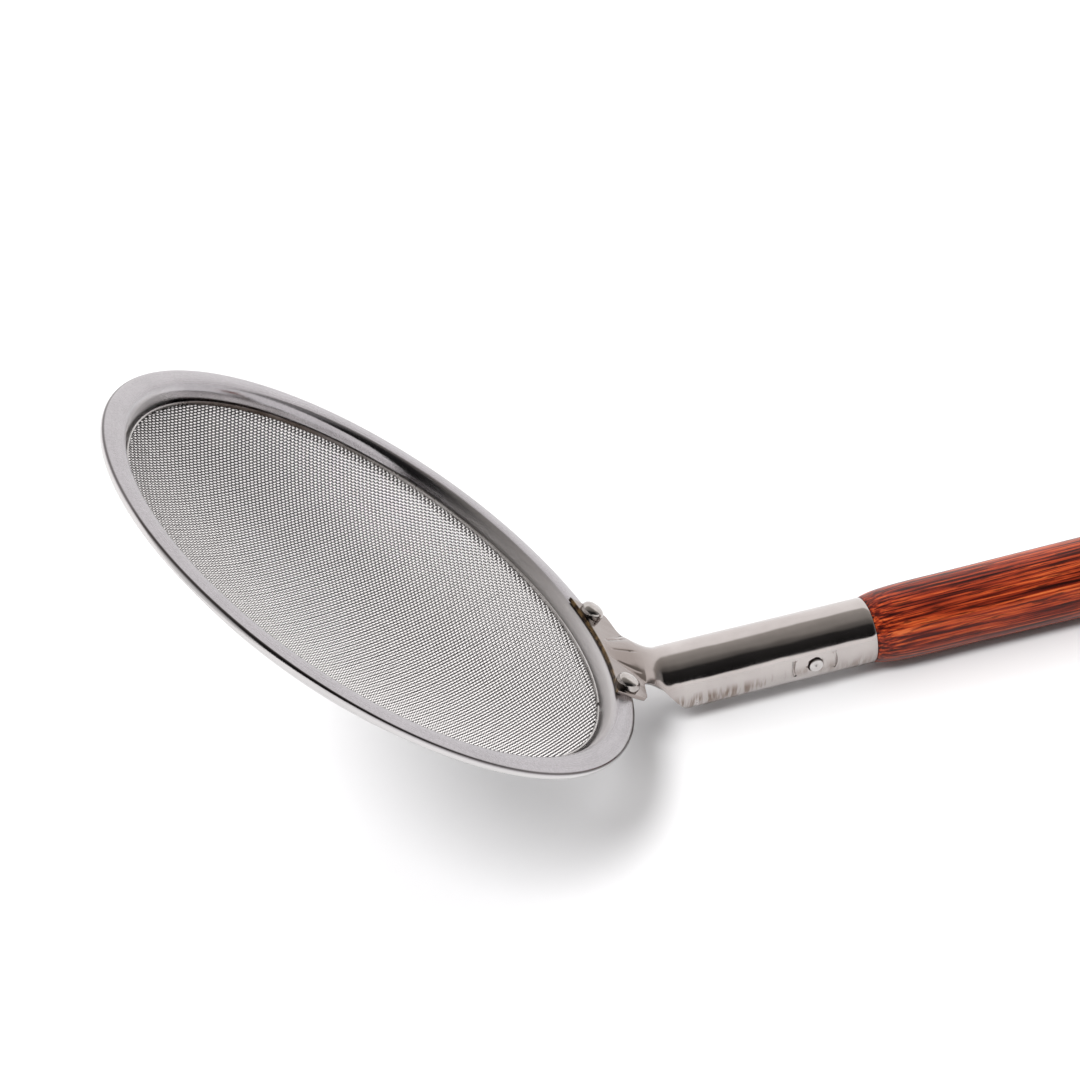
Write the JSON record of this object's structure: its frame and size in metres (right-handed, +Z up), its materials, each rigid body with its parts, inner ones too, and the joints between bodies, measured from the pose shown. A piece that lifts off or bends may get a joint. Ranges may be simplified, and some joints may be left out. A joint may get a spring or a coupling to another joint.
{
  "type": "tea strainer",
  "caption": "Round fine-mesh strainer with a dished wire-cloth disc in a pressed steel rim, riveted to a rolled steel socket that holds a turned, lacquered wooden handle.",
  "frame": {"origin": "centre of the part's length and width, on the surface the handle lies on", "axes": "+X along the handle from the head to the butt, +Z up with the open side of the dish upward, the X-Z plane is the plane of symmetry"},
  "size_m": [0.3778, 0.15, 0.1166],
  "materials": {
    "rim_steel": "satin polished",
    "cloth_steel": "woven stainless wire",
    "band_steel": "satin",
    "socket_steel": "polished, with grinding marks",
    "rivet_steel": "polished",
    "pin_steel": "cut steel",
    "lacquered_wood": "red-brown gloss lacquer over streaked grain"
  },
  "bodies": {
    "root": {"rim_ring": "rim_steel", "wire_cloth": "cloth_steel", "mesh_band": "band_steel", "handle_socket": "socket_steel", "rivet_far": "rivet_steel", "rivet_near": "rivet_steel", "handle_pin": "pin_steel", "wood_handle": "lacquered_wood"}
  },
  "joints": []
}
